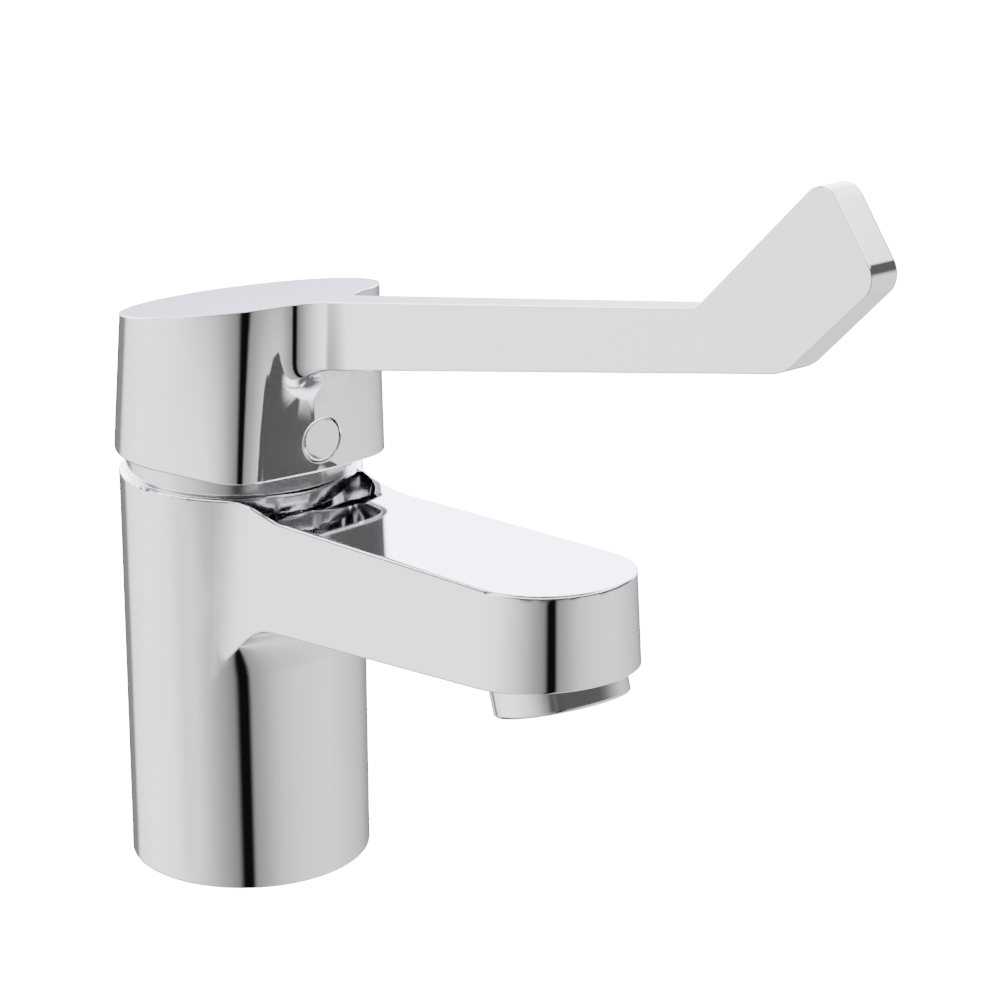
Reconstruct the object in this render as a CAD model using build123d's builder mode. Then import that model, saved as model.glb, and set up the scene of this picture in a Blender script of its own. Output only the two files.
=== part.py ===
"""Single-lever basin tap with a long elbow lever, built as an assembly of separate pieces.

Millimetres. The origin is the centre of the tap's base on the deck, +Z is up, and the
spout and the lever point along -Y. The tap is drawn closed, with its lever straight ahead.
"""

import os
from math import atan2, cos, degrees, hypot, radians, sin, tan

from build123d import *

os.makedirs("parts", exist_ok=True)

# Column
column_base_radius = 24.0
column_rim_radius = 23.75
column_height = 80.0
chrome_edge_radius = 0.6
chrome_edge_chamfer = 0.35
base_recess_radius = 19.0
base_recess_depth = 8.0

# Spout, whose top rises towards the nose and whose sides flare downwards
spout_reach = 91.3
spout_root_half_width = 14.1
spout_nose_radius = 15.2
spout_top_drop = 3.2
spout_top_rise = 3.3
spout_depth_at_axis = 23.4
spout_under_rise = 6.7
spout_flare = 3.0
spout_root_radius = 12.4
rim_land_reach = 20.5
rim_dip_reach = 31.0
rim_dip_radius = 16.0
duct_radius = 5.0
duct_start_drop = 11.3
duct_end_drop = 3.8

# Deck connections
gasket_inner_radius = 20.4
gasket_width = 2.2
gasket_thickness = 1.5
stud_radius = 4.0
stud_setback = 10.0
inlet_offset = 7.5
inlet_setback = 4.0
inlet_thread_radius = 5.0
deck_thread_depth = 10.0
connection_block_height = 14.0
port_offset = 6.5
port_setback = 4.5
port_radius = 2.6

# Cartridge seat and the pieces that hold the cartridge down
seat_clearance = 0.05
nut_thread_radius = 18.6
nut_thread_length = 5.3
nut_collar_radius = 17.9
nut_collar_height = 4.6
nut_slots = 6
nut_slot_width = 3.2
nut_slot_depth = 1.6
nut_seal_radius = 0.95
nut_seal_squeeze = 0.05
trim_ring_radius = 22.4
trim_ring_wall_height = 4.0
trim_dome_height = 3.2
trim_dome_opening = 14.6
trim_ring_thickness = 1.4

# Cartridge
housing_radius = 17.5
housing_waist_radius = 16.2
housing_wall = 2.1
housing_roof_thickness = 2.65
housing_collar_height = 6.2
housing_neck_radius = 14.0
housing_seal_radius = 0.75
housing_seal_drop = 3.3
cartridge_base_thickness = 5.4
cartridge_base_gap = 0.3
seat_seal_width = 1.3
seat_seal_depth = 2.2
outlet_port_radius = 3.4
outlet_port_reach = 1.0
peg_radius = 1.7
peg_length = 2.5
peg_offset = 12.5
disc_seal_depth = 1.2
disc_radius = 12.5
fixed_disc_thickness = 4.0
moving_disc_radius = 10.4
moving_disc_thickness = 3.0
mixing_chamber_depth = 1.4
mixing_chamber_radius = 5.1
mixing_chamber_tail_reach = 3.6
carrier_radius = 10.9
carrier_thickness = 6.0
carrier_rail_width = 3.0
carrier_rail_height = 1.5
carrier_rail_offset = 7.0
sliding_clearance = 0.1

# Lever mechanism
pivot_drop = 2.6
pin_radius = 1.5
pin_half_length = 10.1
ball_drop = 2.4
ball_radius = 2.9
stem_radius = 2.1
hub_radius = 4.4
hub_width = 8.0
stem_square = 8.0
stem_length = 20.0
turret_radius = 10.4
turret_flange_radius = 15.0
turret_flange_thickness = 2.6
turret_slot_half_length = 6.3
running_clearance = 0.05

# Handle skirt, a half round at the back and a rounded square in front
skirt_gap = 0.5
skirt_blank_height = 40.5
skirt_back_radius = 24.5
skirt_corner_radius = 10.0
skirt_corner_offset = 10.9
skirt_corner_reach = 15.3
skirt_front_radius = 20.1
skirt_front_reach = 6.2
skirt_top_shift = 5.1
skirt_top_back_radius = 24.3
skirt_top_corner_radius = 8.7
skirt_top_corner_offset = 10.1
skirt_top_corner_reach = 16.1
skirt_top_front_reach = 7.0
skirt_wall_at_edge = 1.1
skirt_wall_at_top = 2.6
skirt_cavity_height = 19.5
skirt_relief_start = 11.5
skirt_relief_angle = 16.0
handle_height_at_axis = 28.7
handle_top_rise = 10.3

# Lever bar and its bent paddle
bar_half_thickness = 4.3
bar_tip_half_thickness = 2.8
bar_depth_at_axis = 13.7
bar_under_rise = 11.6
bar_root_radius = 8.0
kink_reach = 129.0
kink_radius = 6.0
paddle_angle = 43.9
paddle_run = 26.7
paddle_front_run = 11.5
paddle_front_angle = 52.0
paddle_corner_radius = 3.8
heel_run = 19.7
heel_radius = 9.0
lever_edge_radius = 0.5

# Socket that takes the stem, its screw and the plug that hides the screw
boss_radius = 8.4
boss_above_pivot = 5.3
socket_clearance = 0.05
screw_above_pivot = 8.7
screw_radius = 2.5
screw_length = 6.0
screw_hex_across = 2.5
screw_hex_depth = 2.6
plug_radius = 4.3
plug_thickness = 2.0
plug_stem_length = 3.6
plug_bore_radius = 2.7
plug_gap = 0.12
plug_boss_radius = 6.0
plug_boss_depth = 2.6
plug_stand_off = 0.15

# Aerator, tilted forwards out of the spout's underside
aerator_tilt = 17.6
aerator_lead = 3.55
aerator_stand_out = 6.04
collar_radius = 12.23
collar_length = 9.4
collar_bore_radius = 10.2
collar_lip_radius = 9.3
collar_lip_thickness = 0.9
aerator_thread_radius = 11.4
aerator_thread_length = 5.0
aerator_recess_clearance = 0.12
washer_inner_radius = 8.0
washer_thickness = 1.8
insert_length = 8.6
insert_jets = 8
insert_jet_radius = 0.9
insert_jet_circle = 6.6
grille_thickness = 1.2
grille_hole_width = 1.6
grille_pitch = 2.4
grille_columns = 6

cut_margin = 30.0


def on_slope(height_at_axis, rise, reach):
    """Height of a plane that rises towards the nose, at a distance ahead of the axis."""
    return height_at_axis + reach * tan(radians(rise))


def spout_top(reach):
    return on_slope(spout_top_at_axis, spout_top_rise, reach)


def spout_under(reach):
    return on_slope(spout_under_at_axis, spout_under_rise, reach)


def handle_top(reach):
    return on_slope(handle_top_at_axis, handle_top_rise, reach)


def bar_under(reach):
    return on_slope(bar_under_at_axis, bar_under_rise, reach)


# Heights down from the column's rim: spout, nut, then the cartridge's pieces as they stack
spout_top_at_axis = column_height - spout_top_drop
spout_under_at_axis = spout_top_at_axis - spout_depth_at_axis
duct_start_height = spout_top_at_axis - duct_start_drop
duct_end_height = spout_top_at_axis - duct_end_drop
nose_end_reach = spout_reach + spout_nose_radius
nose_top_height = spout_top(nose_end_reach)
nut_bottom = column_height - nut_thread_length
nut_top = column_height + nut_collar_height
housing_shoulder_height = nut_bottom
housing_neck_top = nut_top
housing_seal_height = housing_shoulder_height - housing_seal_drop
cavity_ceiling = housing_shoulder_height - housing_roof_thickness
flange_bottom = cavity_ceiling - running_clearance - turret_flange_thickness
carrier_top = flange_bottom - sliding_clearance
moving_disc_top = carrier_top - carrier_thickness
fixed_disc_top = moving_disc_top - moving_disc_thickness
base_top = fixed_disc_top - fixed_disc_thickness
base_underside = base_top - cartridge_base_thickness
seat_floor_height = base_underside - cartridge_base_gap
block_top = base_recess_depth + connection_block_height

# Heights up from the rim: trim ring, pivot, handle
trim_wall_top = column_height + trim_ring_wall_height
trim_top = trim_wall_top + trim_dome_height
pivot_height = housing_neck_top - pivot_drop
ball_height = carrier_top - ball_drop
stem_top_height = pivot_height + stem_length
skirt_bottom_height = trim_wall_top + skirt_gap
skirt_blank_top = skirt_bottom_height + skirt_blank_height
skirt_ceiling_height = skirt_bottom_height + skirt_cavity_height
handle_top_at_axis = skirt_bottom_height + handle_height_at_axis
bar_under_at_axis = handle_top_at_axis - bar_depth_at_axis
boss_bottom_height = pivot_height + boss_above_pivot
screw_height = pivot_height + screw_above_pivot

# Places that follow from the sizes above
seat_radius = housing_radius + seat_clearance
paddle_top_reach = kink_reach + paddle_run
paddle_tip_reach = paddle_top_reach + paddle_front_run
heel_reach = kink_reach + heel_run
aerator_mouth_reach = spout_reach + aerator_lead
aerator_mouth_height = spout_under(aerator_mouth_reach) - aerator_stand_out
inlet_places = [(-inlet_offset, -inlet_setback), (inlet_offset, -inlet_setback)]
port_places = [(-port_offset, -port_setback), (port_offset, -port_setback)]
outlet_place = (0, outlet_port_reach)
front_of_skirt = skirt_front_reach + skirt_front_radius
plug_seat_reach = front_of_skirt - plug_thickness

aerator_down = Vector(0, -sin(radians(aerator_tilt)), -cos(radians(aerator_tilt)))
aerator_mouth = Vector(0, -aerator_mouth_reach, aerator_mouth_height)


def aerator_plane(above_mouth):
    """Plane square to the aerator's axis, facing back into the spout."""
    return Plane(
        origin=aerator_mouth - aerator_down * above_mouth,
        x_dir=(1, 0, 0),
        z_dir=aerator_down * -1,
    )


collar_top = collar_length + aerator_thread_length
washer_top = collar_top + washer_thickness


# Body: one chromed brass casting of column and spout

with BuildPart() as spout_blank:
    with BuildSketch(Plane.XY.offset(nose_top_height)) as spout_plan:
        Circle(spout_root_half_width)
        with Locations((0, -spout_reach)):
            Circle(spout_nose_radius)
        make_hull()
    extrude(amount=-(nose_top_height - spout_under_at_axis + cut_margin), taper=-spout_flare)
    extrude(spout_plan.sketch, amount=cut_margin)
    with BuildSketch(Plane.YZ):
        with BuildLine():
            Polyline(
                (cut_margin, spout_under(-cut_margin)),
                (-nose_end_reach - cut_margin, spout_under(nose_end_reach + cut_margin)),
                (-nose_end_reach - cut_margin, 0),
                (cut_margin, 0),
                close=True,
            )
        make_face()
    extrude(amount=cut_margin, both=True, mode=Mode.SUBTRACT)

column_draft = degrees(atan2(column_base_radius - column_rim_radius, column_height))

with BuildPart() as tap_body:
    with BuildSketch():
        Circle(column_base_radius)
    extrude(amount=nose_top_height + cut_margin / 2, taper=column_draft)
    add(spout_blank.part)

    # The spout's root is faired into the column at both sides and below
    root_edges = tap_body.edges().filter_by(
        lambda edge: abs(hypot(edge.center().X, edge.center().Y) - column_rim_radius) < chrome_edge_radius
        and edge.center().Y < -spout_root_half_width
        and spout_under_at_axis < edge.center().Z < nose_top_height + cut_margin / 4
        and edge.geom_type != GeomType.CIRCLE
    )
    fillet(root_edges, spout_root_radius)

    # Top of column and spout: a level land for the trim ring, a soft dip, then the rising top
    with BuildSketch(Plane.YZ) as air_above:
        with BuildLine():
            Polyline(
                (2 * column_base_radius, column_height),
                (-rim_land_reach, column_height),
                (-rim_dip_reach, spout_top(rim_dip_reach)),
                (-nose_end_reach - cut_margin, spout_top(nose_end_reach + cut_margin)),
                (-nose_end_reach - cut_margin, column_height + 2 * cut_margin),
                (2 * column_base_radius, column_height + 2 * cut_margin),
                close=True,
            )
        make_face()
        soft_corners = air_above.vertices().filter_by(
            lambda vertex: -rim_dip_reach - chrome_edge_radius < vertex.X < -chrome_edge_radius
            or -rim_dip_reach - chrome_edge_radius < vertex.Y < -chrome_edge_radius
        )
        fillet(soft_corners, rim_dip_radius)
    extrude(amount=2 * column_base_radius, both=True, mode=Mode.SUBTRACT)

    # Edges of the chrome casting
    top_rim = tap_body.edges().filter_by(
        lambda edge: edge.center().Z > spout_under(-edge.center().Y) + spout_nose_radius / 2
        and edge.center().Z > column_height - 3 * chrome_edge_radius
        and edge.geom_type != GeomType.LINE
    )
    fillet(top_rim, chrome_edge_radius)

    # Underside: recess for the connection block over the deck hole, gasket groove, waterways to the seat
    with BuildSketch():
        Circle(base_recess_radius)
    extrude(amount=block_top, mode=Mode.SUBTRACT)
    with BuildSketch():
        Circle(gasket_inner_radius + gasket_width)
        Circle(gasket_inner_radius, mode=Mode.SUBTRACT)
    extrude(amount=gasket_thickness, mode=Mode.SUBTRACT)
    with BuildSketch(Plane.XY.offset(block_top)):
        with Locations(*port_places):
            Circle(port_radius)
    extrude(amount=seat_floor_height - block_top, mode=Mode.SUBTRACT)

    # Cartridge seat with its nut thread and the two peg holes
    with BuildSketch(Plane.XY.offset(seat_floor_height)):
        Circle(seat_radius)
    extrude(amount=column_height - seat_floor_height, mode=Mode.SUBTRACT)
    with BuildSketch(Plane.XY.offset(nut_bottom)):
        Circle(nut_thread_radius)
    extrude(amount=nut_thread_length, mode=Mode.SUBTRACT)
    with BuildSketch(Plane.XY.offset(seat_floor_height)):
        with Locations((-peg_offset, 0), (peg_offset, 0)):
            Circle(peg_radius + sliding_clearance)
    extrude(amount=-peg_length - sliding_clearance, mode=Mode.SUBTRACT)

    # Waterway from the seat to the aerator chamber
    duct_rise = atan2(duct_end_height - duct_start_height, spout_reach - housing_neck_radius)
    duct_start = Plane(
        origin=(0, -housing_neck_radius, duct_start_height),
        x_dir=(1, 0, 0),
        z_dir=(0, -cos(duct_rise), sin(duct_rise)),
    )
    with BuildSketch(duct_start):
        Circle(duct_radius)
    extrude(amount=(spout_reach - housing_neck_radius) / cos(duct_rise), mode=Mode.SUBTRACT)

    # Aerator chamber: a recess for the collar, the thread and the waterway's end
    with BuildSketch(aerator_plane(0)):
        Circle(collar_radius + aerator_recess_clearance)
    extrude(amount=collar_length + aerator_recess_clearance, mode=Mode.SUBTRACT)
    with BuildSketch(aerator_plane(0)):
        Circle(aerator_thread_radius)
    extrude(amount=washer_top, mode=Mode.SUBTRACT)
    with BuildSketch(aerator_plane(0)):
        Circle(washer_inner_radius)
    extrude(amount=washer_top + washer_thickness, mode=Mode.SUBTRACT)

tap_body.part.label = "tap_body"
export_step(tap_body.part, "parts/tap_body.step")

with BuildPart() as base_gasket:
    with BuildSketch():
        Circle(gasket_inner_radius + gasket_width)
        Circle(gasket_inner_radius, mode=Mode.SUBTRACT)
    extrude(amount=gasket_thickness)

base_gasket.part.label = "base_gasket"
export_step(base_gasket.part, "parts/base_gasket.step")

# Brass block brazed into the column's foot, with the threads for the fixing stud and the two hoses
with BuildPart() as connection_block:
    with BuildSketch(Plane.XY.offset(base_recess_depth)):
        Circle(base_recess_radius - seat_clearance)
    extrude(amount=connection_block_height)
    with BuildSketch(Plane.XY.offset(base_recess_depth)):
        with Locations((0, stud_setback)):
            Circle(stud_radius)
        with Locations(*inlet_places):
            Circle(inlet_thread_radius)
    extrude(amount=deck_thread_depth, mode=Mode.SUBTRACT)
    with BuildSketch(Plane.XY.offset(base_recess_depth)):
        with Locations(*port_places):
            Circle(port_radius)
    extrude(amount=connection_block_height, mode=Mode.SUBTRACT)

connection_block.part.label = "connection_block"
export_step(connection_block.part, "parts/connection_block.step")


# Cartridge: stationary pieces

with BuildPart() as cartridge_base:
    with BuildSketch(Plane.XY.offset(base_underside)):
        Circle(housing_waist_radius - housing_wall - sliding_clearance)
    extrude(amount=cartridge_base_thickness)
    with BuildSketch(Plane.XY.offset(base_underside)):
        Circle(housing_waist_radius)
    extrude(amount=cartridge_base_thickness / 3)
    with BuildSketch(Plane.XY.offset(base_underside)):
        with Locations((-peg_offset, 0), (peg_offset, 0)):
            Circle(peg_radius)
    extrude(amount=-cartridge_base_gap - peg_length + sliding_clearance)
    with BuildSketch(Plane.XY.offset(base_underside)):
        with Locations(*port_places):
            Circle(port_radius)
    extrude(amount=cartridge_base_thickness, mode=Mode.SUBTRACT)
    with BuildSketch(Plane.XY.offset(base_underside)):
        with Locations(*port_places):
            Circle(port_radius + seat_seal_width)
    extrude(amount=seat_seal_depth - cartridge_base_gap, mode=Mode.SUBTRACT)
    # The outlet opens upwards and leaves by a slot to the housing's windows
    with BuildSketch(Plane.XY.offset(base_underside + cartridge_base_thickness / 2)):
        with Locations(outlet_place):
            Circle(outlet_port_radius)
        with Locations((0, housing_waist_radius - housing_wall)):
            Rectangle(2 * outlet_port_radius, 2 * (housing_waist_radius - housing_wall - outlet_port_reach))
    extrude(amount=cartridge_base_thickness, mode=Mode.SUBTRACT)
    with BuildSketch(Plane.XY.offset(base_top - disc_seal_depth)):
        with Locations(*port_places):
            Circle(port_radius + seat_seal_width)
    extrude(amount=disc_seal_depth, mode=Mode.SUBTRACT)

cartridge_base.part.label = "cartridge_base"
export_step(cartridge_base.part, "parts/cartridge_base.step")

with BuildPart() as seat_seals:
    with BuildSketch(Plane.XY.offset(seat_floor_height)):
        with Locations(*port_places):
            Circle(port_radius + seat_seal_width)
            Circle(port_radius, mode=Mode.SUBTRACT)
    extrude(amount=seat_seal_depth)

seat_seals.part.label = "seat_seals"
export_step(seat_seals.part, "parts/seat_seals.step")

with BuildPart() as disc_seals:
    with BuildSketch(Plane.XY.offset(base_top - disc_seal_depth)):
        with Locations(*port_places):
            Circle(port_radius + seat_seal_width)
            Circle(port_radius, mode=Mode.SUBTRACT)
    extrude(amount=disc_seal_depth)

disc_seals.part.label = "disc_seals"
export_step(disc_seals.part, "parts/disc_seals.step")

with BuildPart() as fixed_disc:
    with BuildSketch(Plane.XY.offset(base_top)):
        Circle(disc_radius)
        with Locations(*port_places):
            Circle(port_radius, mode=Mode.SUBTRACT)
        with Locations(outlet_place):
            Circle(outlet_port_radius, mode=Mode.SUBTRACT)
        # Notches that key the disc to the cartridge base
        with PolarLocations(disc_radius, 2):
            Circle(peg_radius / 2, mode=Mode.SUBTRACT)
    extrude(amount=fixed_disc_thickness)

fixed_disc.part.label = "fixed_disc"
export_step(fixed_disc.part, "parts/fixed_disc.step")

inner_wall_radius = housing_waist_radius - housing_wall + sliding_clearance

with BuildPart() as cartridge_housing:
    lower_end = base_underside + cartridge_base_thickness / 3
    collar_bottom = housing_shoulder_height - housing_collar_height
    with BuildSketch(Plane.XY.offset(lower_end)):
        Circle(housing_waist_radius)
    extrude(amount=housing_shoulder_height - lower_end)
    with BuildSketch(Plane.XY.offset(collar_bottom)):
        Circle(housing_radius)
    extrude(amount=housing_collar_height)
    with BuildSketch(Plane.XY.offset(housing_shoulder_height)):
        Circle(housing_neck_radius)
    extrude(amount=housing_neck_top - housing_shoulder_height)
    # Chamber for the discs, with a wider room for the turret's flange, and the neck's bore
    with BuildSketch(Plane.XY.offset(lower_end)):
        Circle(inner_wall_radius)
    extrude(amount=carrier_top - lower_end, mode=Mode.SUBTRACT)
    with BuildSketch(Plane.XY.offset(fixed_disc_top)):
        Circle(turret_flange_radius + running_clearance)
    extrude(amount=cavity_ceiling - fixed_disc_top, mode=Mode.SUBTRACT)
    with BuildSketch(Plane.XY.offset(cavity_ceiling)):
        Circle(turret_radius + running_clearance)
    extrude(amount=housing_neck_top - cavity_ceiling, mode=Mode.SUBTRACT)
    # Groove for the housing seal and the window that lets the mixed water out at the back
    with BuildSketch(Plane.XZ):
        with Locations((seat_radius - housing_seal_radius, housing_seal_height)):
            Rectangle(2 * (housing_seal_radius + seat_clearance), 3 * housing_seal_radius)
    revolve(axis=Axis.Z, mode=Mode.SUBTRACT)
    with BuildSketch(Plane.XY.offset(base_top - cartridge_base_thickness / 2)):
        with Locations((0, housing_waist_radius)):
            Rectangle(2 * outlet_port_radius, 4 * housing_wall)
    extrude(amount=cartridge_base_thickness / 2, mode=Mode.SUBTRACT)

cartridge_housing.part.label = "cartridge_housing"
export_step(cartridge_housing.part, "parts/cartridge_housing.step")

with BuildPart() as housing_seal:
    with BuildSketch(Plane.XZ):
        with Locations((seat_radius - housing_seal_radius, housing_seal_height)):
            Rectangle(2 * housing_seal_radius, 2 * housing_seal_radius)
    revolve(axis=Axis.Z)

housing_seal.part.label = "housing_seal"
export_step(housing_seal.part, "parts/housing_seal.step")

with BuildPart() as cartridge_nut:
    with BuildSketch(Plane.XY.offset(nut_bottom)):
        Circle(nut_thread_radius - seat_clearance)
    extrude(amount=nut_thread_length)
    with BuildSketch(Plane.XY.offset(column_height)):
        Circle(nut_collar_radius)
    extrude(amount=nut_collar_height)
    with BuildSketch(Plane.XY.offset(nut_bottom)):
        Circle(housing_neck_radius + sliding_clearance)
    extrude(amount=nut_top - nut_bottom, mode=Mode.SUBTRACT)
    # Spanner slots around the top
    with BuildSketch(Plane.XY.offset(nut_top)):
        with PolarLocations(nut_collar_radius, nut_slots):
            Rectangle(3 * nut_slot_width, nut_slot_width)
    extrude(amount=-nut_slot_depth, mode=Mode.SUBTRACT)
    # Groove for the seal that holds the trim ring
    with BuildSketch(Plane.XZ):
        with Locations((nut_collar_radius, column_height + 2 * nut_seal_radius)):
            Rectangle(2 * nut_seal_radius, 2 * nut_seal_radius)
    revolve(axis=Axis.Z, mode=Mode.SUBTRACT)

cartridge_nut.part.label = "cartridge_nut"
export_step(cartridge_nut.part, "parts/cartridge_nut.step")

trim_bore_radius = nut_collar_radius + nut_seal_radius

with BuildPart() as trim_ring_seal:
    with BuildSketch(Plane.XZ):
        with Locations((nut_collar_radius, column_height + 2 * nut_seal_radius)):
            Rectangle(2 * (nut_seal_radius - nut_seal_squeeze), 2 * (nut_seal_radius - nut_seal_squeeze))
    revolve(axis=Axis.Z)

trim_ring_seal.part.label = "trim_ring_seal"
export_step(trim_ring_seal.part, "parts/trim_ring_seal.step")

with BuildPart() as trim_ring:
    with BuildSketch(Plane.XZ):
        with BuildLine():
            Polyline(
                (trim_bore_radius, column_height),
                (trim_ring_radius, column_height),
                (trim_ring_radius, trim_wall_top),
                (trim_dome_opening + trim_ring_thickness, trim_top),
                (trim_dome_opening, trim_top),
                (trim_dome_opening, trim_top - trim_ring_thickness),
                (trim_bore_radius, nut_top + sliding_clearance),
                close=True,
            )
        make_face()
    revolve(axis=Axis.Z)
    ring_corner = trim_ring.edges().filter_by(GeomType.CIRCLE).filter_by(
        lambda edge: abs(edge.radius - trim_ring_radius) < chrome_edge_radius / 2
    )
    chamfer(ring_corner, chrome_edge_chamfer)

trim_ring.part.label = "trim_ring"
export_step(trim_ring.part, "parts/trim_ring.step")


# Cartridge: moving pieces

with BuildPart() as moving_disc:
    with BuildSketch(Plane.XY.offset(fixed_disc_top)):
        Circle(moving_disc_radius)
    extrude(amount=moving_disc_thickness)
    # Blind chamber that joins the ports when the disc has moved
    with BuildSketch(Plane.XY.offset(fixed_disc_top)):
        Circle(mixing_chamber_radius)
        with Locations((0, mixing_chamber_tail_reach)):
            Circle(outlet_port_radius + sliding_clearance)
        make_hull()
    extrude(amount=mixing_chamber_depth, mode=Mode.SUBTRACT)

moving_disc.part.label = "moving_disc"
export_step(moving_disc.part, "parts/moving_disc.step")

with BuildPart() as disc_carrier:
    with BuildSketch(Plane.XY.offset(moving_disc_top)):
        Circle(carrier_radius)
    extrude(amount=carrier_thickness)
    with BuildSketch(Plane.XY.offset(carrier_top)):
        with Locations((-carrier_rail_offset, 0), (carrier_rail_offset, 0)):
            Rectangle(carrier_rail_width, carrier_radius)
    extrude(amount=carrier_rail_height)
    # Socket for the stem's ball
    with BuildSketch(Plane.XY.offset(carrier_top)):
        Circle(ball_radius + sliding_clearance)
    extrude(amount=-(carrier_top - ball_height + ball_radius + sliding_clearance), mode=Mode.SUBTRACT)

disc_carrier.part.label = "disc_carrier"
export_step(disc_carrier.part, "parts/disc_carrier.step")

with BuildPart() as turret:
    with BuildSketch(Plane.XY.offset(flange_bottom)):
        Circle(turret_flange_radius)
    extrude(amount=turret_flange_thickness)
    with BuildSketch(Plane.XY.offset(flange_bottom)):
        Circle(turret_radius)
    extrude(amount=housing_neck_top - flange_bottom)
    # Slot in which the stem swings, grooves that guide the carrier's rails, and the pin's hole
    with BuildSketch(Plane.XY.offset(flange_bottom)):
        Rectangle(hub_width + 2 * sliding_clearance, 2 * turret_slot_half_length)
    extrude(amount=housing_neck_top - flange_bottom, mode=Mode.SUBTRACT)
    with BuildSketch(Plane.XY.offset(flange_bottom)):
        with Locations((-carrier_rail_offset, 0), (carrier_rail_offset, 0)):
            Rectangle(carrier_rail_width + 2 * sliding_clearance, 2 * turret_flange_radius)
    extrude(amount=carrier_rail_height, mode=Mode.SUBTRACT)
    with BuildSketch(Plane.YZ.offset(-pin_half_length)):
        with Locations((0, pivot_height)):
            Circle(pin_radius)
    extrude(amount=2 * pin_half_length, mode=Mode.SUBTRACT)

turret.part.label = "turret"
export_step(turret.part, "parts/turret.step")

with BuildPart() as pivot_pin:
    with BuildSketch(Plane.YZ.offset(-pin_half_length)):
        with Locations((0, pivot_height)):
            Circle(pin_radius)
    extrude(amount=2 * pin_half_length)
    chamfer(pivot_pin.edges(), pin_radius / 5)

pivot_pin.part.label = "pivot_pin"
export_step(pivot_pin.part, "parts/pivot_pin.step")

with BuildPart() as spindle:
    with BuildSketch(Plane.YZ.offset(-hub_width / 2)):
        with Locations((0, pivot_height)):
            Circle(hub_radius)
    extrude(amount=hub_width)
    with BuildSketch(Plane.XY.offset(pivot_height)):
        Rectangle(stem_square, stem_square)
    extrude(amount=stem_top_height - pivot_height)
    chamfer(spindle.faces().sort_by(Axis.Z)[-1].edges(), stem_square / 10)
    with BuildSketch(Plane.XY.offset(pivot_height)):
        Circle(stem_radius)
    extrude(amount=ball_height - pivot_height)
    with Locations((0, 0, ball_height)):
        Sphere(ball_radius)
    with BuildSketch(Plane.YZ.offset(-hub_width / 2)):
        with Locations((0, pivot_height)):
            Circle(pin_radius + running_clearance)
    extrude(amount=hub_width, mode=Mode.SUBTRACT)

spindle.part.label = "spindle"
export_step(spindle.part, "parts/spindle.step")


# Handle: one chromed casting of skirt, flat bar and bent paddle

paddle_slope = tan(radians(paddle_angle))
front_slope = tan(radians(paddle_front_angle))
kink_height = handle_top(kink_reach)
paddle_top_height = kink_height + (paddle_top_reach - kink_reach) * paddle_slope
paddle_tip_height = paddle_top_height - (paddle_tip_reach - paddle_top_reach) * front_slope
heel_height = bar_under(heel_reach)


def bar_half_thickness_at(reach):
    """Half the thickness of the bar, which thins out evenly from the axis to the tip."""
    thinning = (bar_half_thickness - bar_tip_half_thickness) / paddle_tip_reach
    return bar_half_thickness - thinning * reach


with BuildPart() as bar_blank:
    with BuildSketch(Plane.YZ):
        with BuildLine():
            Polyline(
                (0, bar_under(0)),
                (-heel_reach, heel_height),
                (-paddle_tip_reach, paddle_tip_height),
                (-paddle_top_reach, paddle_top_height),
                (-paddle_top_reach + cut_margin / front_slope, paddle_top_height + cut_margin),
                (0, paddle_top_height + cut_margin),
                close=True,
            )
        make_face()
    extrude(amount=bar_half_thickness, both=True)
    with BuildSketch():
        with BuildLine():
            Polyline(
                (-bar_half_thickness, 0),
                (-bar_half_thickness_at(paddle_tip_reach), -paddle_tip_reach),
                (bar_half_thickness_at(paddle_tip_reach), -paddle_tip_reach),
                (bar_half_thickness, 0),
                close=True,
            )
        make_face()
    extrude(amount=2 * paddle_top_height, mode=Mode.INTERSECT)

with BuildPart() as skirt_cavity:
    with BuildSketch(Plane.XY.offset(skirt_bottom_height)):
        Circle(skirt_back_radius - skirt_wall_at_edge)
        with Locations(
            (-skirt_corner_offset, -skirt_corner_reach), (skirt_corner_offset, -skirt_corner_reach)
        ):
            Circle(skirt_corner_radius - skirt_wall_at_edge)
        with Locations((0, -skirt_front_reach)):
            Circle(skirt_front_radius - skirt_wall_at_edge)
        make_hull()
    with BuildSketch(Plane.XY.offset(skirt_ceiling_height)):
        with Locations((0, -skirt_top_shift / 2)):
            Circle(skirt_back_radius - skirt_wall_at_top)
        with Locations(
            (-skirt_corner_offset, -skirt_corner_reach), (skirt_corner_offset, -skirt_corner_reach)
        ):
            Circle(skirt_corner_radius - skirt_wall_at_top)
        with Locations((0, -skirt_front_reach)):
            Circle(skirt_front_radius - skirt_wall_at_top)
        make_hull()
    loft(ruled=True)
    with BuildSketch(Plane.XY.offset(boss_bottom_height)):
        Circle(boss_radius)
    extrude(amount=skirt_ceiling_height - boss_bottom_height, mode=Mode.SUBTRACT)
    # Boss behind the plug's seat, left standing on the front wall
    with BuildSketch(Plane.XZ.offset(plug_seat_reach - plug_boss_depth)):
        with Locations((0, screw_height)):
            Circle(plug_boss_radius)
    extrude(amount=plug_boss_depth + skirt_wall_at_top, mode=Mode.SUBTRACT)

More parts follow.
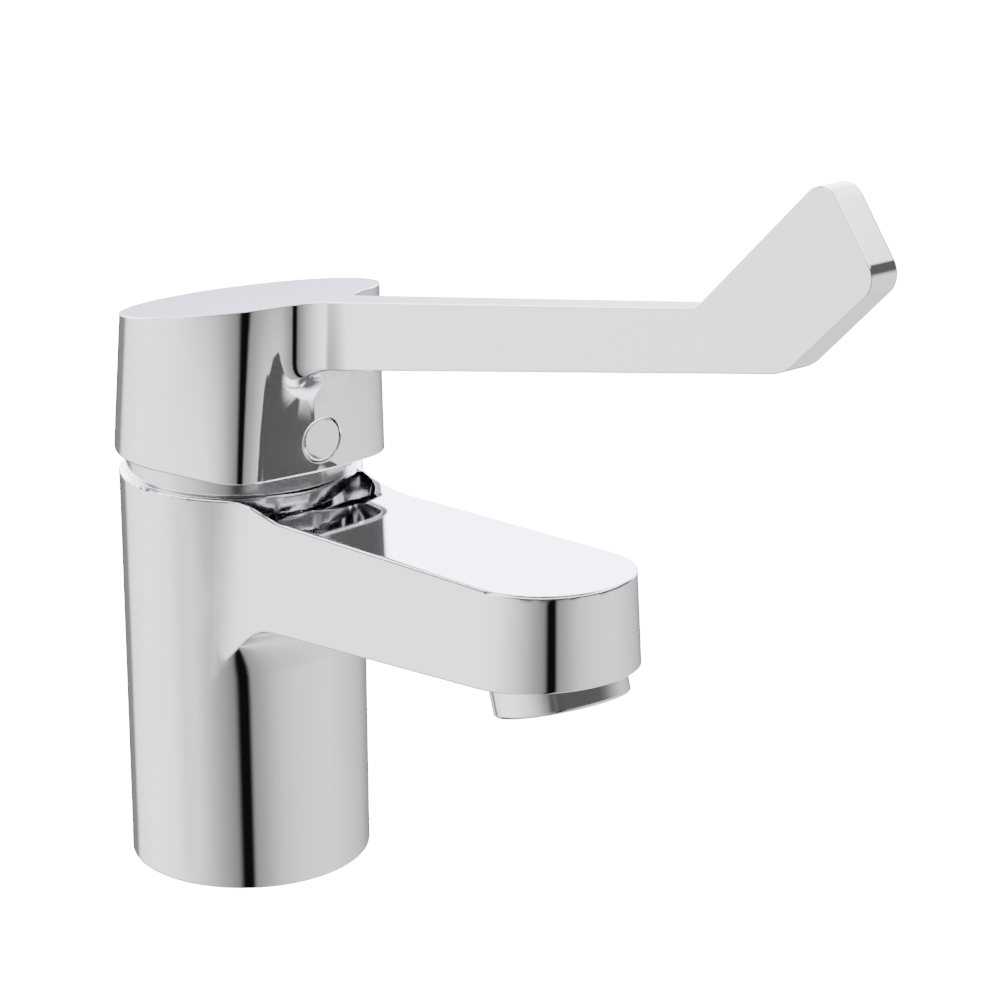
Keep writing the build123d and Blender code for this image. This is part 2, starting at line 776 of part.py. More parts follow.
with BuildPart() as lever_handle:
    with BuildSketch(Plane.XY.offset(skirt_bottom_height)):
        Circle(skirt_back_radius)
        with Locations(
            (-skirt_corner_offset, -skirt_corner_reach), (skirt_corner_offset, -skirt_corner_reach)
        ):
            Circle(skirt_corner_radius)
        with Locations((0, -skirt_front_reach)):
            Circle(skirt_front_radius)
        make_hull()
    with BuildSketch(Plane.XY.offset(skirt_blank_top)):
        with Locations((0, -skirt_top_shift)):
            Circle(skirt_top_back_radius)
        with Locations(
            (-skirt_top_corner_offset, -skirt_top_corner_reach),
            (skirt_top_corner_offset, -skirt_top_corner_reach),
        ):
            Circle(skirt_top_corner_radius)
        with Locations((0, -skirt_top_front_reach)):
            Circle(skirt_front_radius)
        make_hull()
    loft(ruled=True)
    add(bar_blank.part)

    # The bar's root flows into the skirt with a hollow at both sides and below
    bar_roots = lever_handle.edges().filter_by(
        lambda edge: abs(-edge.center().Y - front_of_skirt) < bar_half_thickness / 2
        and abs(edge.center().X) < bar_half_thickness + lever_edge_radius
        and bar_under_at_axis < edge.center().Z < skirt_blank_top - lever_edge_radius
    )
    fillet(bar_roots, bar_root_radius)

    # Flat top of skirt and bar in one plane, then the paddle's rising edge
    far_reach = paddle_tip_reach + cut_margin
    with BuildSketch(Plane.YZ):
        with BuildLine():
            Polyline(
                (2 * skirt_back_radius, handle_top(-2 * skirt_back_radius)),
                (-kink_reach, kink_height),
                (-far_reach, kink_height + (far_reach - kink_reach) * paddle_slope),
                (-far_reach, paddle_top_height + far_reach),
                (2 * skirt_back_radius, paddle_top_height + far_reach),
                close=True,
            )
        make_face()
    extrude(amount=2 * skirt_back_radius, both=True, mode=Mode.SUBTRACT)

    # Rounded corners of the paddle's outline
    cross_edges = lever_handle.edges().filter_by(Axis.X)
    fillet(cross_edges.sort_by_distance((0, -kink_reach, kink_height))[0], kink_radius)
    for reach, height, radius in (
        (paddle_top_reach, paddle_top_height, paddle_corner_radius),
        (paddle_tip_reach, paddle_tip_height, paddle_corner_radius),
        (heel_reach, heel_height, heel_radius),
    ):
        corner = lever_handle.edges().filter_by(Axis.X).sort_by_distance((0, -reach, height))[0]
        fillet(corner, radius)

    # Relief behind the skirt that lets the handle tip back
    with BuildSketch(Plane.YZ):
        with BuildLine():
            Polyline(
                (skirt_relief_start, skirt_bottom_height),
                (
                    2 * skirt_back_radius,
                    skirt_bottom_height
                    + (2 * skirt_back_radius - skirt_relief_start) * tan(radians(skirt_relief_angle)),
                ),
                (2 * skirt_back_radius, skirt_bottom_height),
                close=True,
            )
        make_face()
    extrude(amount=2 * skirt_back_radius, both=True, mode=Mode.SUBTRACT)

    # Hollow of the skirt, with its bosses
    add(skirt_cavity.part, mode=Mode.SUBTRACT)
    # Square socket for the stem, up from the boss's lower face
    with BuildSketch(Plane.XY.offset(boss_bottom_height)):
        Rectangle(stem_square + 2 * socket_clearance, stem_square + 2 * socket_clearance)
    extrude(amount=stem_top_height + sliding_clearance - boss_bottom_height, mode=Mode.SUBTRACT)
    # Screw hole through the boss's front, and the seat of the plug in the skirt
    with BuildSketch(Plane.XZ):
        with Locations((0, screw_height)):
            Circle(screw_radius)
    extrude(amount=boss_radius + cut_margin / 6, mode=Mode.SUBTRACT)
    with BuildSketch(Plane.XZ):
        with Locations((0, screw_height)):
            Circle(plug_bore_radius)
    extrude(amount=cut_margin + plug_seat_reach, mode=Mode.SUBTRACT)
    with BuildSketch(Plane.XZ.offset(plug_seat_reach)):
        with Locations((0, screw_height)):
            Circle(plug_radius + plug_gap)
    extrude(amount=cut_margin, mode=Mode.SUBTRACT)

lever_handle.part.label = "lever_handle"
export_step(lever_handle.part, "parts/lever_handle.step")

with BuildPart() as grub_screw:
    screw_start = stem_square / 2
    with BuildSketch(Plane.XZ.offset(screw_start)):
        with Locations((0, screw_height)):
            Circle(screw_radius - socket_clearance)
    extrude(amount=screw_length)
    chamfer(grub_screw.faces().sort_by(Axis.Y)[-1].edges(), screw_radius / 4)
    with BuildSketch(Plane.XZ.offset(screw_start + screw_length)):
        with Locations((0, screw_height)):
            RegularPolygon(screw_hex_across / 2, 6, major_radius=False)
    extrude(amount=-screw_hex_depth, mode=Mode.SUBTRACT)

grub_screw.part.label = "grub_screw"
export_step(grub_screw.part, "parts/grub_screw.step")

with BuildPart() as indicator_plug:
    with BuildSketch(Plane.XZ.offset(plug_seat_reach)):
        with Locations((0, screw_height)):
            Circle(plug_radius)
    extrude(amount=plug_thickness + plug_stand_off)
    chamfer(indicator_plug.faces().sort_by(Axis.Y)[0].edges(), chrome_edge_chamfer)
    with BuildSketch(Plane.XZ.offset(plug_seat_reach)):
        with Locations((0, screw_height)):
            Circle(plug_bore_radius - seat_clearance)
    extrude(amount=-plug_stem_length)

indicator_plug.part.label = "indicator_plug"
export_step(indicator_plug.part, "parts/indicator_plug.step")


# Aerator

with BuildPart() as aerator_collar:
    with BuildSketch(aerator_plane(0)):
        Circle(collar_radius)
    extrude(amount=collar_length)
    chamfer(aerator_collar.edges().sort_by(Axis.Z)[0], chrome_edge_chamfer)
    with BuildSketch(aerator_plane(collar_length)):
        Circle(aerator_thread_radius - seat_clearance)
    extrude(amount=aerator_thread_length)
    with BuildSketch(aerator_plane(0)):
        Circle(collar_lip_radius)
    extrude(amount=collar_top, mode=Mode.SUBTRACT)
    with BuildSketch(aerator_plane(collar_lip_thickness)):
        Circle(collar_bore_radius)
    extrude(amount=collar_top, mode=Mode.SUBTRACT)

aerator_collar.part.label = "aerator_collar"
export_step(aerator_collar.part, "parts/aerator_collar.step")

with BuildPart() as aerator_grille:
    with BuildSketch(aerator_plane(collar_lip_thickness)):
        Circle(collar_bore_radius - seat_clearance)
        with GridLocations(grille_pitch, grille_pitch, grille_columns, grille_columns):
            Rectangle(grille_hole_width, grille_hole_width, mode=Mode.SUBTRACT)
    extrude(amount=grille_thickness)

aerator_grille.part.label = "aerator_grille"
export_step(aerator_grille.part, "parts/aerator_grille.step")

insert_bottom = collar_lip_thickness + grille_thickness

with BuildPart() as aerator_insert:
    with BuildSketch(aerator_plane(insert_bottom)):
        Circle(collar_bore_radius - seat_clearance)
    extrude(amount=insert_length)
    with BuildSketch(aerator_plane(insert_bottom)):
        Circle(washer_inner_radius)
    extrude(amount=insert_length / 2, mode=Mode.SUBTRACT)
    with BuildSketch(aerator_plane(insert_bottom)):
        with PolarLocations(insert_jet_circle, insert_jets):
            Rectangle(2 * insert_jet_radius, 2 * insert_jet_radius)
    extrude(amount=insert_length, mode=Mode.SUBTRACT)

aerator_insert.part.label = "aerator_insert"
export_step(aerator_insert.part, "parts/aerator_insert.step")

with BuildPart() as aerator_washer:
    with BuildSketch(aerator_plane(collar_top)):
        Circle(aerator_thread_radius - seat_clearance)
        Circle(washer_inner_radius, mode=Mode.SUBTRACT)
    extrude(amount=washer_thickness)

aerator_washer.part.label = "aerator_washer"
export_step(aerator_washer.part, "parts/aerator_washer.step")
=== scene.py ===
"""Looks of the elbow lever tap: plated brass pieces, cartridge, seals and aerator, in a pale studio."""

import logging
import math
from dataclasses import dataclass
from enum import Enum

import bmesh
import bpy
import numpy as np
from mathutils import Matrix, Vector


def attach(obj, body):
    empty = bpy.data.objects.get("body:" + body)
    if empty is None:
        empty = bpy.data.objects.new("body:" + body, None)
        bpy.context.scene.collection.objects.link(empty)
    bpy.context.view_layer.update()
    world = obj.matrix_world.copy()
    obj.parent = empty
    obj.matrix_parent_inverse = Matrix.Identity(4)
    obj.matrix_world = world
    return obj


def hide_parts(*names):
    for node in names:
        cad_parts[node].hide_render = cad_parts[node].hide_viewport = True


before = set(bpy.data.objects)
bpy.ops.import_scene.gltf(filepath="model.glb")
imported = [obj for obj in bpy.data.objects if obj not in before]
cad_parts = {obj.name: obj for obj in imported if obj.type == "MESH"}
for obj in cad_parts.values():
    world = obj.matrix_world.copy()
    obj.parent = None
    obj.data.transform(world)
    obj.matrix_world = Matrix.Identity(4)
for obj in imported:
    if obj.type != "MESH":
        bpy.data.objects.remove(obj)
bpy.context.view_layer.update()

log = logging.getLogger("elbow_lever_tap")
MM = 0.001


def linear(hex_colour: str) -> tuple[float, float, float, float]:
    """Turn an sRGB hex colour into linear light, by the numbers of the sRGB curve.

    Args:
        hex_colour: Six hex digits, with or without a leading hash.

    Returns:
        Red, green, blue and an alpha of one.
    """
    digits = hex_colour.lstrip("#")
    values = [int(digits[i:i + 2], 16) / 255 for i in (0, 2, 4)]
    red, green, blue = (v / 12.92 if v <= 0.04045 else ((v + 0.055) / 1.055) ** 2.4 for v in values)
    return red, green, blue, 1.0


def add_node(tree: bpy.types.NodeTree, kind: str, settings: dict | None = None, links: dict | None = None,
             **sockets: object) -> bpy.types.Node:
    """Add one node with its settings, socket values and incoming links.

    Args:
        tree: The node tree that gets the node.
        kind: Blender's type name of the node.
        settings: Attributes to set on the node.
        links: Input socket name or index to the output socket that feeds it.
        **sockets: Input values by name, with underscores for spaces.

    Returns:
        The new node.
    """
    node = tree.nodes.new(kind)
    for key, value in (settings or {}).items():
        setattr(node, key, value)
    for key, value in sockets.items():
        node.inputs[key.replace("_", " ")].default_value = value
    for key, output in (links or {}).items():
        tree.links.new(output, node.inputs[key])
    return node


class Grain(Enum):
    """How the surface of a finish is broken up."""

    PLATED = "plated"
    TURNED = "turned"
    MOULDED = "moulded"


@dataclass(frozen=True)
class Finish:
    """A finish, from what the real material is and how its surface was made.

    Args:
        name: The maker's name of the finish.
        colour: sRGB hex colour of the surface.
        metallic: One for a bare or plated metal.
        roughness: Mean roughness.
        roughness_spread: How far the roughness wanders to each side.
        grain: How the surface was made.
        grain_mm: Size of the surface's unevenness.
        relief_mm: Height of that unevenness.
        edge_mm: Rounding that the eye sees on the edges.
        ior: Refractive index, for what isn't metal.
        rings: Rings of the lathe within the size of a turned grain.
        octaves: Finer steps within the unevenness.
        octave_share: Weight of each step beside the one before.
        noise_low: Value of the noise that gives the least roughness.
        noise_high: Value that gives the most.
        edge_rays: Rays that look for an edge close by.
    """

    name: str
    colour: str
    metallic: float
    roughness: float
    roughness_spread: float
    grain: Grain
    grain_mm: float
    relief_mm: float
    edge_mm: float = 0.0
    ior: float = 1.5
    rings: float = 14.0
    octaves: float = 3.0
    octave_share: float = 0.5
    noise_low: float = 0.25
    noise_high: float = 0.75
    edge_rays: int = 8

    def material(self) -> bpy.types.Material:
        """Build the material, or return the one that is already built.

        Returns:
            The node material of this finish.
        """
        known = bpy.data.materials.get(self.name)
        if known:
            return known
        made = bpy.data.materials.new(self.name)
        made.use_nodes = True
        tree = made.node_tree
        tree.nodes.clear()
        place = add_node(tree, "ShaderNodeTexCoord").outputs["Object"]
        stretch = (1.0, 1.0, self.rings) if self.grain is Grain.TURNED else (1.0, 1.0, 1.0)
        at = add_node(tree, "ShaderNodeMapping", links={"Vector": place}, Scale=stretch).outputs["Vector"]
        uneven = add_node(tree, "ShaderNodeTexNoise", links={"Vector": at}, Scale=1 / (self.grain_mm * MM),
                          Detail=self.octaves, Roughness=self.octave_share).outputs["Fac"]
        rough = add_node(tree, "ShaderNodeMapRange", links={"Value": uneven},
                         From_Min=self.noise_low, From_Max=self.noise_high,
                         To_Min=max(self.roughness - self.roughness_spread, 0.0),
                         To_Max=self.roughness + self.roughness_spread).outputs["Result"]
        bump_links = {"Height": uneven}
        if self.edge_mm:
            rounded = add_node(tree, "ShaderNodeBevel", {"samples": self.edge_rays}, Radius=self.edge_mm * MM)
            bump_links["Normal"] = rounded.outputs["Normal"]
        normal = add_node(tree, "ShaderNodeBump", links=bump_links, Strength=1.0,
                          Distance=self.relief_mm * MM).outputs["Normal"]
        shader = add_node(tree, "ShaderNodeBsdfPrincipled", links={"Roughness": rough, "Normal": normal},
                          Base_Color=linear(self.colour), Metallic=self.metallic)
        if not self.metallic:
            shader.inputs["IOR"].default_value = self.ior
        add_node(tree, "ShaderNodeOutputMaterial", links={"Surface": shader.outputs["BSDF"]})
        return made


# Bright nickel-chrome plating on polished brass: a mirror with a faint blue cast, in which the wheel that
# polished it leaves long waves of hardly any height
CHROME = Finish("chrome-plated brass", "#F4F4F7", 1.0, 0.05, 0.01, Grain.PLATED, 24.0, 0.0003, edge_mm=0.5)
# The same plating on the turned trim ring, whose surface keeps a little of the lathe's softness
SOFT_CHROME = Finish("chrome-plated turned brass", "#E9E9EC", 1.0, 0.2, 0.02, Grain.PLATED, 12.0, 0.0004,
                     edge_mm=0.3)
# Turned free-cutting brass, unplated: warm yellow with fine rings of the lathe, 0.09 mm apart
BRASS = Finish("turned brass", "#D9B565", 1.0, 0.28, 0.06, Grain.TURNED, 1.2, 0.004, edge_mm=0.15)
# Stainless steel pin and set screw: grey and satin from grinding, with scratches 0.06 mm apart
STEEL = Finish("ground stainless steel", "#B9B9BB", 1.0, 0.3, 0.06, Grain.TURNED, 0.8, 0.003, edge_mm=0.1)
# Moulded EPDM seal rubber: deep black with a dull bloom, its fine grain drawn coarse to show
RUBBER = Finish("EPDM seal rubber", "#1C1C1D", 0.0, 0.62, 0.08, Grain.MOULDED, 0.9, 0.01, ior=1.52)
# Moulded acetal of the cartridge: off-white and slightly waxy, its spark-eroded grain drawn coarse to show
ACETAL = Finish("white acetal", "#E4E3DC", 0.0, 0.36, 0.05, Grain.MOULDED, 0.7, 0.004, edge_mm=0.2, ior=1.48)
# Grey acetal of the aerator's insert and grille, with the same grain
GREY_ACETAL = Finish("grey acetal", "#9FA3A8", 0.0, 0.34, 0.05, Grain.MOULDED, 0.7, 0.004, edge_mm=0.15,
                     ior=1.48)
# Lapped alumina discs: hard white with a ground shine, the lapping's grain drawn coarse to show
ALUMINA = Finish("lapped alumina", "#F1EFE8", 0.0, 0.16, 0.04, Grain.MOULDED, 0.3, 0.001, ior=1.76)


def dress(finish: Finish, *nodes: str) -> None:
    """Give CAD nodes their finish.

    Args:
        finish: The finish that they get.
        *nodes: Names of the nodes.
    """
    for node in nodes:
        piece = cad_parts[node]
        piece.data.materials.clear()
        piece.data.materials.append(finish.material())
        log.info("%s: %s", node, finish.name)


@dataclass
class PlatedPiece:
    """A polished and plated piece that stands for its CAD node, with reflections that run on across it.

    Args:
        node: The CAD node.
        name: Name of the finished piece.
        body: The body that it moves with.
        finish: Its finish.
        merge_mm: Points closer than this become one.
        level_deg: Faces that turn less than this between them become one.
        crease_deg: Edges sharper than this stay edges.
        flat_sides: A face with as many sides or more is one of the piece's flat faces.
        flat_breadth_mm: So is one that is broader than this.
        sliver_share: Faces below this share of the broadest one don't steer its normal.
        patch_reach: Cosine of the turn up to which the faces around belong to the same curved patch.
        patch_trust: Cosine of the turn up to which the patch's normal is believed.
        patch_points: Points that a patch has to have around its middle.
        patch_core_mm: Distance within which the points of a patch count nearly alike.
    """

    node: str
    name: str
    body: str
    finish: Finish = CHROME
    merge_mm: float = 0.0005
    level_deg: float = 0.05
    crease_deg: float = 24.0
    flat_sides: int = 7
    flat_breadth_mm: float = 4.0
    sliver_share: float = 0.04
    patch_reach: float = 0.974
    patch_trust: float = 0.985
    patch_points: int = 7
    patch_core_mm: float = 0.5

    def build(self) -> bpy.types.Object:
        """Merge a copy of the node's mesh, smooth its faces and keep its edges crisp.

        Returns:
            The finished piece.
        """
        mesh = bpy.data.meshes.new(self.name)
        work = bmesh.new()
        work.from_mesh(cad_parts[self.node].data)
        bmesh.ops.remove_doubles(work, verts=work.verts, dist=self.merge_mm * MM)
        bmesh.ops.dissolve_limit(work, angle_limit=math.radians(self.level_deg), verts=work.verts,
                                 edges=work.edges, use_dissolve_boundaries=False, delimit={"NORMAL"})
        crease = math.radians(self.crease_deg)
        for face in work.faces:
            face.smooth = True
        for edge in work.edges:
            edge.smooth = not (edge.is_manifold and edge.calc_face_angle(0.0) > crease)
        work.to_mesh(mesh)
        work.free()
        mesh.materials.append(self.finish.material())
        piece = bpy.data.objects.new(self.name, mesh)
        bpy.context.scene.collection.objects.link(piece)
        self.set_normals(mesh)
        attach(piece, self.body)
        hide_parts(self.node)
        log.info("%s: %d faces", self.name, len(mesh.polygons))
        return piece

    def set_normals(self, mesh: bpy.types.Mesh) -> None:
        """Give each corner of the mesh the normal of the polished surface there.

        A flat face keeps its own normal. Elsewhere the normal comes from a curved patch laid through the
        points around, so that a reflection runs straight over facets of uneven width.

        Args:
            mesh: The merged mesh, with its edges marked.
        """
        work = bmesh.new()
        work.from_mesh(mesh)
        corner_normals = [None] * len(mesh.loops)
        for vert in work.verts:
            for fan in self.fans(vert):
                normal = self.surface_normal(vert, fan)
                for face in fan:
                    for loop in face.loops:
                        if loop.vert is vert:
                            corner_normals[loop.index] = normal
        work.free()
        mesh.normals_split_custom_set(corner_normals)

    def fans(self, vert: bmesh.types.BMVert) -> list[set[bmesh.types.BMFace]]:
        """Group the faces round a point by the creases between them.

        Args:
            vert: The point.

        Returns:
            Sets of faces that run smoothly into each other.
        """
        left = set(vert.link_faces)
        groups = []
        while left:
            group = set()
            queue = [left.pop()]
            while queue:
                face = queue.pop()
                group.add(face)
                for edge in face.edges:
                    if vert in edge.verts and edge.smooth:
                        queue.extend(near for near in edge.link_faces if near in left)
                        left.difference_update(edge.link_faces)
            groups.append(group)
        return groups

    def is_flat(self, face: bmesh.types.BMFace) -> bool:
        """Tell a flat face of the piece from the narrow strips that a curved one is made of.

        Args:
            face: The face.

        Returns:
            True for a flat face.
        """
        if len(face.verts) >= self.flat_sides:
            return True
        return face.calc_area() / max(edge.calc_length() for edge in face.edges) > self.flat_breadth_mm * MM

    def surface_normal(self, vert: bmesh.types.BMVert, fan: set[bmesh.types.BMFace]) -> Vector:
        """Find the surface's normal at a point, from a flat face there or else from the patch around.

        Args:
            vert: The point.
            fan: The faces round it that run smoothly into each other.

        Returns:
            The unit normal.
        """
        flat = [face for face in fan if self.is_flat(face)]
        if flat:
            return max(flat, key=lambda face: face.calc_area()).normal.copy()
        least_area = self.sliver_share * max(face.calc_area() for face in fan)
        broad = [face for face in fan if face.calc_area() > least_area]
        mean = Vector()
        for face in broad:
            corner = next(loop for loop in face.loops if loop.vert is vert)
            mean += face.normal * (corner.calc_angle() * face.calc_area())
        mean.normalize()
        around = {near for face in broad for near in face.verts}
        for near in tuple(around):
            for face in near.link_faces:
                if (not self.is_flat(face) and face.normal.dot(mean) > self.patch_reach
                        and face.calc_area() > least_area):
                    around.update(face.verts)
        around.discard(vert)
        return self.patch_normal(vert, around, mean)

    def patch_normal(self, vert: bmesh.types.BMVert, around: set[bmesh.types.BMVert], mean: Vector) -> Vector:
        """Lay a curved patch through the points around one, and take its normal there.

        Args:
            vert: The point.
            around: The points around it on the same surface.
            mean: Mean normal of the faces at the point, which holds where the patch can't be trusted.

        Returns:
            The unit normal.
        """
        if len(around) < self.patch_points:
            return mean
        across = mean.orthogonal().normalized()
        along = mean.cross(across)
        rows = []
        heights = []
        for near in around:
            step = near.co - vert.co
            u, v, height = (step.dot(axis) / MM for axis in (across, along, mean))
            weight = 1.0 / (self.patch_core_mm + math.hypot(u, v))
            rows.append([weight * term for term in (u, v, u * u, u * v, v * v)])
            heights.append(weight * height)
        slope = np.linalg.lstsq(np.array(rows), np.array(heights), rcond=None)[0]
        fitted = (mean - across * float(slope[0]) - along * float(slope[1])).normalized()
        return fitted if fitted.dot(mean) > self.patch_trust else mean


@dataclass
class ColumnAndSpout:
    """The body casting, the ring that closes its top, the block in its foot and the gasket under its base.

    Args:
        body: The body that they belong to.
    """

    body: str = "tap"

    def build(self) -> None:
        """Build the casting and the trim ring, and dress the block and the seals."""
        PlatedPiece("tap_body", "column_and_spout_casting", self.body).build()
        PlatedPiece("trim_ring", "trim_ring_plated", self.body, SOFT_CHROME).build()
        dress(BRASS, "connection_block")
        dress(RUBBER, "base_gasket", "trim_ring_seal")


@dataclass
class Aerator:
    """The outlet's collar with the insert, grille and washer inside it.

    Args:
        body: The body that they belong to.
    """

    body: str = "tap"

    def build(self) -> None:
        """Build the collar and dress what it holds."""
        PlatedPiece("aerator_collar", "aerator_collar_plated", self.body).build()
        dress(GREY_ACETAL, "aerator_grille", "aerator_insert")
        dress(RUBBER, "aerator_washer")


@dataclass
class Cartridge:
    """The ceramic disc cartridge below the handle and the nut that holds it."""

    def build(self) -> None:
        """Dress the cartridge's pieces."""
        dress(ACETAL, "cartridge_housing", "cartridge_base", "turret", "disc_carrier")
        dress(ALUMINA, "fixed_disc", "moving_disc")
        dress(RUBBER, "housing_seal", "seat_seals", "disc_seals")
        dress(BRASS, "cartridge_nut", "spindle")
        dress(STEEL, "pivot_pin")


@dataclass
class ElbowLever:
    """The handle casting with its plug and set screw.

    Args:
        body: The body that they belong to.
    """

    body: str = "lever"

    def build(self) -> None:
        """Build the handle and the plug, and dress the set screw."""
        PlatedPiece("lever_handle", "elbow_lever_casting", self.body).build()
        PlatedPiece("indicator_plug", "screw_plug_plated", self.body).build()
        dress(STEEL, "grub_screw")


@dataclass(frozen=True)
class LightRing:
    """A ring of soft boxes and black flags round the tap, which its chrome mirrors.

    Args:
        stops: Angle round from -Y in degrees, brightness and share of blue, once round from the back.
        band: Heights between which the ring takes over from those before it, as sines of the elevation.
        green: Share of green in its light.
    """

    stops: tuple[tuple[float, float, float], ...]
    band: tuple[float, float] | None = None
    green: float = 1.01

    def hang(self, tree: bpy.types.NodeTree, share: bpy.types.NodeSocket, height: bpy.types.NodeSocket,
             tent: bpy.types.NodeSocket | None) -> bpy.types.NodeSocket:
        """Hang the ring into the tent.

        Args:
            tree: The world's node tree.
            share: How far round from the back the light comes from, nought to one.
            height: Sine of the elevation that it comes from.
            tent: Light of the rings before this one, or None for the first.

        Returns:
            Light of the rings up to this one.
        """
        boxes = add_node(tree, "ShaderNodeValToRGB", links={"Fac": share})
        elements = boxes.color_ramp.elements
        while len(elements) > 1:
            elements.remove(elements[0])
        for index, (angle, value, blue) in enumerate(self.stops):
            spot = (angle + 180.0) / 360.0
            stop = elements[0] if index == 0 else elements.new(spot)
            stop.position = spot
            stop.color = (value, value * self.green, value * blue, 1.0)
        if tent is None:
            return boxes.outputs["Color"]
        step = add_node(tree, "ShaderNodeMapRange", {"interpolation_type": "SMOOTHSTEP"}, {"Value": height},
                        From_Min=self.band[0], From_Max=self.band[1])
        mix = add_node(tree, "ShaderNodeMix", {"data_type": "RGBA"},
                       {0: step.outputs["Result"], 6: tent, 7: boxes.outputs["Color"]})
        return mix.outputs[2]


# Narrow dark gap between two boxes beside the camera: the thin black lines down column, skirt and spout
GAP = ((-63.0, 0.55, 1.0), (-48.0, 0.28, 1.0), (-43.0, 0.006, 1.0), (-34.5, 0.006, 1.0), (-30.5, 0.36, 1.0),
       (-20.0, 0.54, 1.0))
# Soft boxes at the sides, dim behind the tap and behind its right side: the broad greys of column and skirt
SIDE_BOXES = LightRing((
    (-180.0, 0.32, 1.04), (-171.0, 1.9, 1.02), (-142.0, 2.35, 1.01), (-114.0, 2.1, 1.0), (-98.0, 1.6, 1.0),
    (-80.0, 1.05, 1.0), *GAP, (-3.0, 1.0, 1.0), (15.0, 1.25, 1.0), (45.0, 1.45, 1.0), (80.0, 1.05, 1.01),
    (100.0, 0.8, 1.02), (115.0, 0.5, 1.03), (130.0, 0.32, 1.04), (160.0, 0.26, 1.04), (180.0, 0.32, 1.04)))
# Above them, bright boxes behind the tap with one slot, which its level tops mirror, and black flags in front
# and at the sides, which the skirt mirrors by way of the spout's top as a dark wedge
HIGH_BOXES = LightRing((
    (-180.0, 6.0, 1.2), (-152.0, 5.0, 1.2), (-147.0, 0.10, 1.0), (-131.0, 0.10, 1.0), (-126.0, 4.0, 1.2),
    (-105.0, 1.5, 1.1), (-85.0, 0.16, 1.0), (-60.0, 0.11, 1.0), (0.0, 0.11, 1.0), (60.0, 0.13, 1.0),
    (88.0, 0.16, 1.0), (108.0, 6.0, 1.25), (165.0, 7.0, 1.25), (180.0, 6.0, 1.2)), (-0.16, 0.14))
# Boxes overhead, with a dark slot between two of them behind the tap
TOP_BOXES = LightRing((
    (-180.0, 4.0, 1.1), (-175.0, 0.25, 1.1), (-166.0, 0.10, 1.1), (-152.0, 0.12, 1.1), (-143.0, 4.0, 1.1),
    (-100.0, 3.4, 1.05), (52.0, 3.3, 1.0), (110.0, 4.0, 1.1), (180.0, 4.0, 1.1)), (0.50, 0.62))
# What lies low round the tap, dark behind it
LOW_BOXES = LightRing((
    (-180.0, 0.10, 1.0), (-148.0, 0.10, 1.0), (-136.0, 1.2, 1.0), (-98.0, 1.2, 1.0), *GAP, (0.0, 0.9, 1.0),
    (60.0, 1.4, 1.0), (120.0, 1.2, 1.0), (146.0, 0.9, 1.0), (157.0, 0.12, 1.0), (180.0, 0.10, 1.0)),
    (-0.42, -0.52))
# Unlit roof of the tent straight above
ROOF = LightRing(((-180.0, 0.20, 1.06),), (0.74, 0.90), green=1.0)


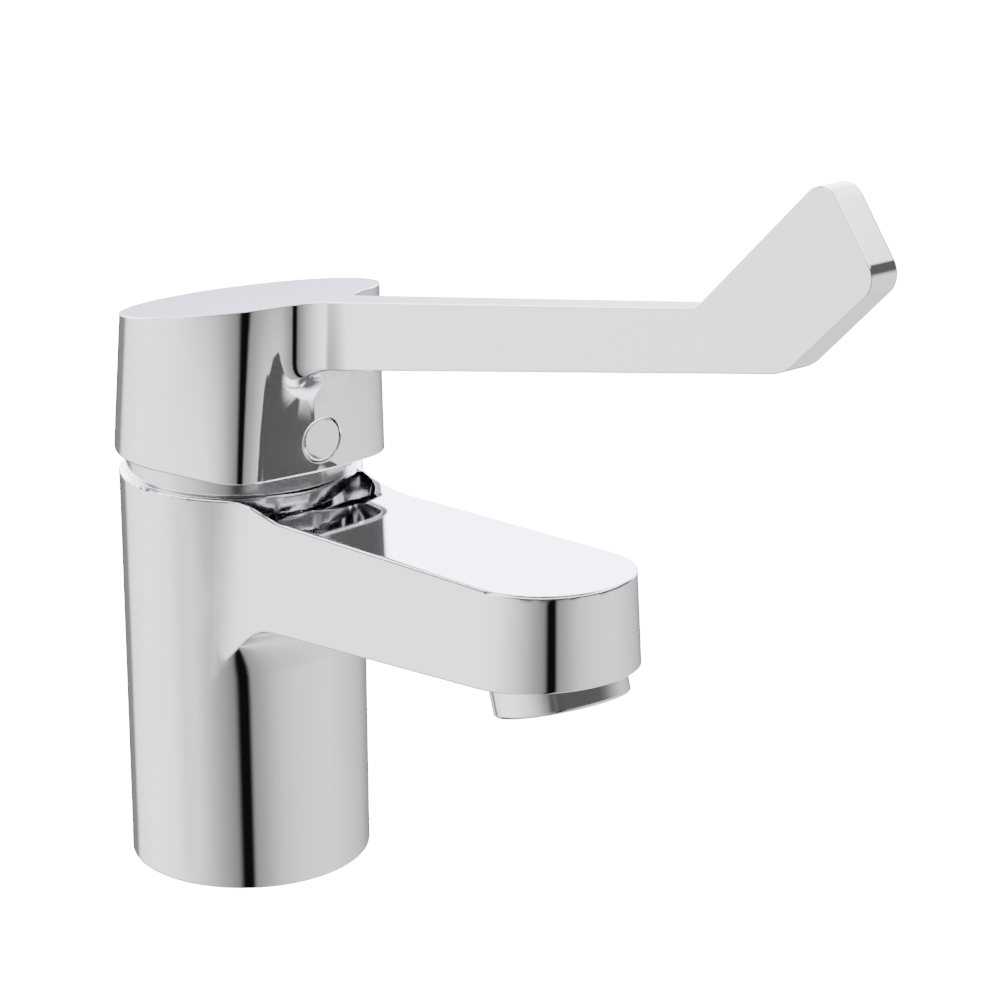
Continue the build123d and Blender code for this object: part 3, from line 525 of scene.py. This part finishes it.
@dataclass
class Studio:
    """White floor and backdrop, a light tent all round and the camera.

    Args:
        floor_size: Side of the floor in metres.
        backdrop_height: Height of the backdrop round the floor in metres.
        paper_colour: sRGB hex colour of both.
        paper_roughness: Their roughness.
        glow_colour: sRGB hex colour of the light through the paper.
        glow: Strength of that light.
        rings: Rings of the light tent, each laid over those before it.
        camera_at_mm: The camera's place.
        aim_mm: The point that it looks at.
        lens_mm: Its focal length.
        sensor_mm: Width of its sensor.
        clip_from: Nearest distance that it sees, in metres.
    """

    floor_size: float = 12.0
    backdrop_height: float = 8.0
    paper_colour: str = "#F9F9F9"
    paper_roughness: float = 0.9
    glow_colour: str = "#FFFFFF"
    glow: float = 20.0
    rings: tuple[LightRing, ...] = (SIDE_BOXES, HIGH_BOXES, TOP_BOXES, LOW_BOXES, ROOF)
    camera_at_mm: tuple[float, float, float] = (-322.49, -457.23, 253.88)
    aim_mm: tuple[float, float, float] = (52.28, -16.52, 65.29)
    lens_mm: float = 107.6
    sensor_mm: float = 36.0
    clip_from: float = 0.01

    def build(self) -> None:
        """Build floor and backdrop, the light tent and the camera."""
        self.lay_paper()
        self.hang_tent()
        self.set_camera()

    def lay_paper(self) -> None:
        """Lay a white floor and hang a backdrop round it that only the camera sees."""
        paper = bpy.data.materials.new("white paper sweep")
        paper.use_nodes = True
        tree = paper.node_tree
        tree.nodes.clear()
        shader = add_node(tree, "ShaderNodeBsdfPrincipled", Base_Color=linear(self.paper_colour),
                          Roughness=self.paper_roughness, Emission_Color=linear(self.glow_colour),
                          Emission_Strength=self.glow)
        add_node(tree, "ShaderNodeOutputMaterial", links={"Surface": shader.outputs["BSDF"]})
        work = bmesh.new()
        bmesh.ops.create_grid(work, x_segments=1, y_segments=1, size=self.floor_size / 2)
        self.set_sheet("studio_floor", work, paper)
        level = list(work.faces)
        raised = bmesh.ops.extrude_edge_only(work, edges=work.edges)["geom"]
        top = [vert for vert in raised if isinstance(vert, bmesh.types.BMVert)]
        bmesh.ops.translate(work, vec=(0.0, 0.0, self.backdrop_height), verts=top)
        bmesh.ops.delete(work, geom=level, context="FACES_ONLY")
        backdrop = self.set_sheet("studio_backdrop", work, paper)
        backdrop.visible_diffuse = False
        backdrop.visible_shadow = False
        work.free()

    def set_sheet(self, name: str, work: bmesh.types.BMesh, paper: bpy.types.Material) -> bpy.types.Object:
        """Put a sheet of the studio's paper in its place.

        Args:
            name: Name of the sheet.
            work: Its shape.
            paper: Its material.

        Returns:
            The sheet, which no shiny surface mirrors.
        """
        mesh = bpy.data.meshes.new(name)
        work.normal_update()
        work.to_mesh(mesh)
        mesh.materials.append(paper)
        sheet = bpy.data.objects.new(name, mesh)
        bpy.context.scene.collection.objects.link(sheet)
        sheet.visible_glossy = False
        return sheet

    def hang_tent(self) -> None:
        """Hang the rings of the light tent, one over the other."""
        world = bpy.data.worlds.new("light tent")
        world.use_nodes = True
        tree = world.node_tree
        tree.nodes.clear()
        way = add_node(tree, "ShaderNodeTexCoord").outputs["Generated"]
        front = add_node(tree, "ShaderNodeMapping", links={"Vector": way}, Scale=(1.0, -1.0, 1.0))
        part = add_node(tree, "ShaderNodeSeparateXYZ", links={"Vector": front.outputs["Vector"]}).outputs
        turn = add_node(tree, "ShaderNodeMath", {"operation": "ARCTAN2"}, {0: part["X"], 1: part["Y"]})
        share = add_node(tree, "ShaderNodeMapRange", links={"Value": turn.outputs[0]},
                         From_Min=-math.pi, From_Max=math.pi).outputs["Result"]
        tent = None
        for ring in self.rings:
            tent = ring.hang(tree, share, part["Z"], tent)
        light = add_node(tree, "ShaderNodeBackground", links={"Color": tent}, Strength=1.0)
        add_node(tree, "ShaderNodeOutputWorld", links={"Surface": light.outputs["Background"]})
        bpy.context.scene.world = world

    def set_camera(self) -> None:
        """Set the camera at the photograph's place."""
        data = bpy.data.cameras.new("camera")
        data.lens = self.lens_mm
        data.sensor_width = self.sensor_mm
        data.clip_start = self.clip_from
        eye = bpy.data.objects.new("camera", data)
        bpy.context.scene.collection.objects.link(eye)
        place = Vector(self.camera_at_mm) * MM
        aim = Vector(self.aim_mm) * MM
        eye.location = place
        eye.rotation_euler = (aim - place).to_track_quat("-Z", "Y").to_euler()
        bpy.context.scene.camera = eye


def main() -> None:
    """Build the tap's sub-assemblies and the studio in order."""
    logging.basicConfig(level=logging.INFO)
    for assembly in (ColumnAndSpout(), Aerator(), Cartridge(), ElbowLever(), Studio()):
        assembly.build()
        log.info("built %s", type(assembly).__name__)


if __name__ == "__main__":
    main()
